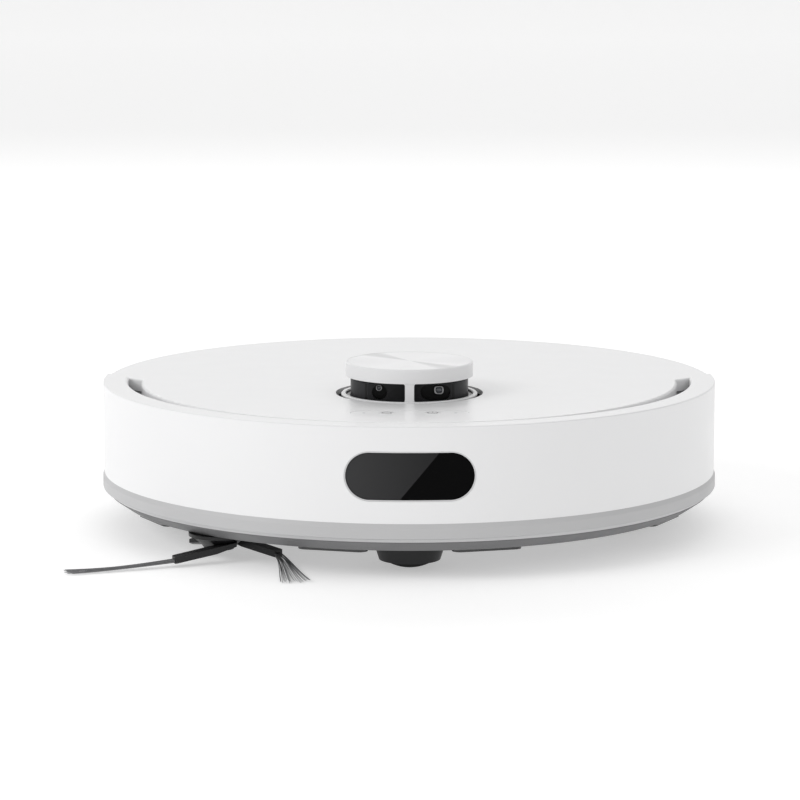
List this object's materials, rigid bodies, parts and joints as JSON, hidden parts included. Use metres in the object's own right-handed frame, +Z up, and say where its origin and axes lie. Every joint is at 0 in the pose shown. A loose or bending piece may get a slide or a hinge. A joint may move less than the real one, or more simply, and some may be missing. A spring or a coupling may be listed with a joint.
{
  "type": "robot vacuum",
  "caption": "Round robot vacuum cleaner with a raised lidar turret, sprung bumper, lift-off cover and bin, side brush, roller brush, caster and sprung drive wheels.",
  "frame": {"origin": "on the floor, under the middle of the round body", "axes": "+Z up, -Y forwards (bumper), +X the fan side; charging contacts face +Y"},
  "size_m": [0.3625, 0.3549, 0.0991],
  "materials": {
    "shell_white": "satin",
    "strip_grey": "matte",
    "chassis_grey": "matte",
    "inner_grey": "matte",
    "black_gloss": "gloss",
    "dark_plastic": "matte",
    "clear_bin": "satin",
    "brush_rubber": "matte",
    "bristle": "matte",
    "tread": "matte",
    "steel": "satin",
    "cap_metal": "brushed",
    "lens": "gloss",
    "board": "satin",
    "battery": "matte",
    "filter": "matte",
    "led": "gloss",
    "seal": "matte"
  },
  "bodies": {
    "base": {"lower_housing": "chassis_grey", "battery_door": "chassis_grey", "rear_shell": "shell_white", "rear_skirt": "strip_grey", "mid_deck": "inner_grey", "housing_screws": "steel", "cover_magnets": "steel", "cliff_sensors": "black_gloss", "charging_contacts": "steel", "rear_window": "black_gloss", "bumper_switches": "dark_plastic", "button_panel": "shell_white", "button_leds": "led", "turret_ring": "shell_white", "lidar_base": "dark_plastic", "lidar_motor": "steel", "lidar_belt": "seal", "main_board": "board", "battery_pack": "battery", "speaker": "dark_plastic", "side_brush_motor": "dark_plastic", "caster_socket": "dark_plastic", "suspension_mounts": "inner_grey", "brush_housing": "inner_grey", "brush_motor": "dark_plastic", "bin_seal": "seal", "chassis_wall": "chassis_grey", "fan_housing": "inner_grey", "fan_motor": "steel"},
    "bumper": {"bumper_shell": "shell_white", "bumper_skirt": "strip_grey", "bumper_bezel": "strip_grey", "bumper_window": "black_gloss"},
    "cover": {"top_cover": "shell_white"},
    "home_key": {"home_button": "shell_white"},
    "power_key": {"power_button": "shell_white"},
    "turret_top": {"turret_cap": "shell_white", "turret_cap_disc": "cap_metal"},
    "lidar": {"lidar_rotor": "dark_plastic", "lidar_lenses": "lens"},
    "pulley": {"lidar_pulley": "steel"},
    "bin": {"bin_body": "clear_bin", "bin_lid": "clear_bin", "bin_filter": "filter"},
    "fan": {"fan_impeller": "dark_plastic"},
    "main_brush": {"brush_core": "dark_plastic", "brush_vanes": "brush_rubber"},
    "guard": {"brush_guard": "dark_plastic"},
    "side_brush": {"side_brush_hub": "brush_rubber", "side_brush_bristles": "bristle", "side_brush_screw": "steel"},
    "caster": {"caster_fork": "dark_plastic", "caster_axle": "steel"},
    "caster_roller": {"caster_wheel": "tread"},
    "arm_left": {"drive_arm_left": "dark_plastic"},
    "arm_right": {"drive_arm_right": "dark_plastic"},
    "wheel_left": {"wheel_hub_left": "dark_plastic", "tyre_left": "tread"},
    "wheel_right": {"wheel_hub_right": "dark_plastic", "tyre_right": "tread"}
  },
  "joints": [
    {"name": "bumper_press", "type": "slide", "parent": "base", "child": "bumper", "axis": [0, 1, 0], "range_m": [0, 0.003], "stiffness_N_per_m": 300, "springref_m": -0.003},
    {"name": "cover_lift", "type": "slide", "parent": "base", "child": "cover", "axis": [0, 0, 1], "range_m": [0, 0.12]},
    {"name": "bin_lift", "type": "slide", "parent": "base", "child": "bin", "axis": [0, 0, 1], "range_m": [0, 0.072]},
    {"name": "home_press", "type": "slide", "parent": "base", "child": "home_key", "axis": [0, 0, -1], "range_m": [0, 0.0006], "stiffness_N_per_m": 1500, "springref_m": -0.0004},
    {"name": "power_press", "type": "slide", "parent": "base", "child": "power_key", "axis": [0, 0, -1], "range_m": [0, 0.0006], "stiffness_N_per_m": 1500, "springref_m": -0.0004},
    {"name": "turret_press", "type": "slide", "parent": "base", "child": "turret_top", "axis": [0, 0, -1], "range_m": [0, 0.0006], "stiffness_N_per_m": 2500, "springref_m": -0.0006},
    {"name": "lidar_spin", "type": "hinge", "parent": "base", "child": "lidar", "pos_m": [0, -0.049, 0.08], "axis": [0, 0, 1], "continuous": true},
    {"name": "pulley_spin", "type": "hinge", "parent": "base", "child": "pulley", "pos_m": [0.05, -0.049, 0.068], "axis": [0, 0, 1], "continuous": true},
    {"name": "fan_spin", "type": "hinge", "parent": "base", "child": "fan", "pos_m": [0.104, 0.0845, 0.05], "axis": [0, 0, 1], "continuous": true},
    {"name": "brush_spin", "type": "hinge", "parent": "base", "child": "main_brush", "pos_m": [0, 0.04, 0.0215], "axis": [1, 0, 0], "continuous": true},
    {"name": "guard_open", "type": "hinge", "parent": "base", "child": "guard", "pos_m": [0.003, 0.066, 0.0137], "axis": [1, 0, 0], "range_deg": [0, 60]},
    {"name": "side_brush_spin", "type": "hinge", "parent": "base", "child": "side_brush", "pos_m": [-0.103, -0.11, 0.009], "axis": [0, 0, 1], "continuous": true, "deforming": ["side_brush_bristles"]},
    {"name": "caster_swivel", "type": "hinge", "parent": "base", "child": "caster", "pos_m": [0, -0.135, 0.02], "axis": [0, 0, 1], "continuous": true},
    {"name": "caster_roll", "type": "hinge", "parent": "caster", "child": "caster_roller", "pos_m": [0, -0.134, 0.011], "axis": [1, 0, 0], "continuous": true},
    {"name": "suspension_left", "type": "hinge", "parent": "base", "child": "arm_left", "pos_m": [-0.096, 0.044, 0.042], "axis": [1, 0, 0], "range_deg": [0, 25], "stiffness_Nm_per_rad": 0.5, "springref_deg": 40.11},
    {"name": "suspension_right", "type": "hinge", "parent": "base", "child": "arm_right", "pos_m": [0.096, 0.044, 0.042], "axis": [1, 0, 0], "range_deg": [0, 25], "stiffness_Nm_per_rad": 0.5, "springref_deg": 40.11},
    {"name": "wheel_spin_left", "type": "hinge", "parent": "arm_left", "child": "wheel_left", "pos_m": [-0.118, 0, 0.035], "axis": [1, 0, 0], "continuous": true},
    {"name": "wheel_spin_right", "type": "hinge", "parent": "arm_right", "child": "wheel_right", "pos_m": [0.118, 0, 0.035], "axis": [1, 0, 0], "continuous": true}
  ],
  "couplings": [
    {"joint": "bin_lift", "follows": "cover_lift", "ratio": 0.6},
    {"joint": "pulley_spin", "follows": "lidar_spin", "ratio": 4.4444}
  ]
}
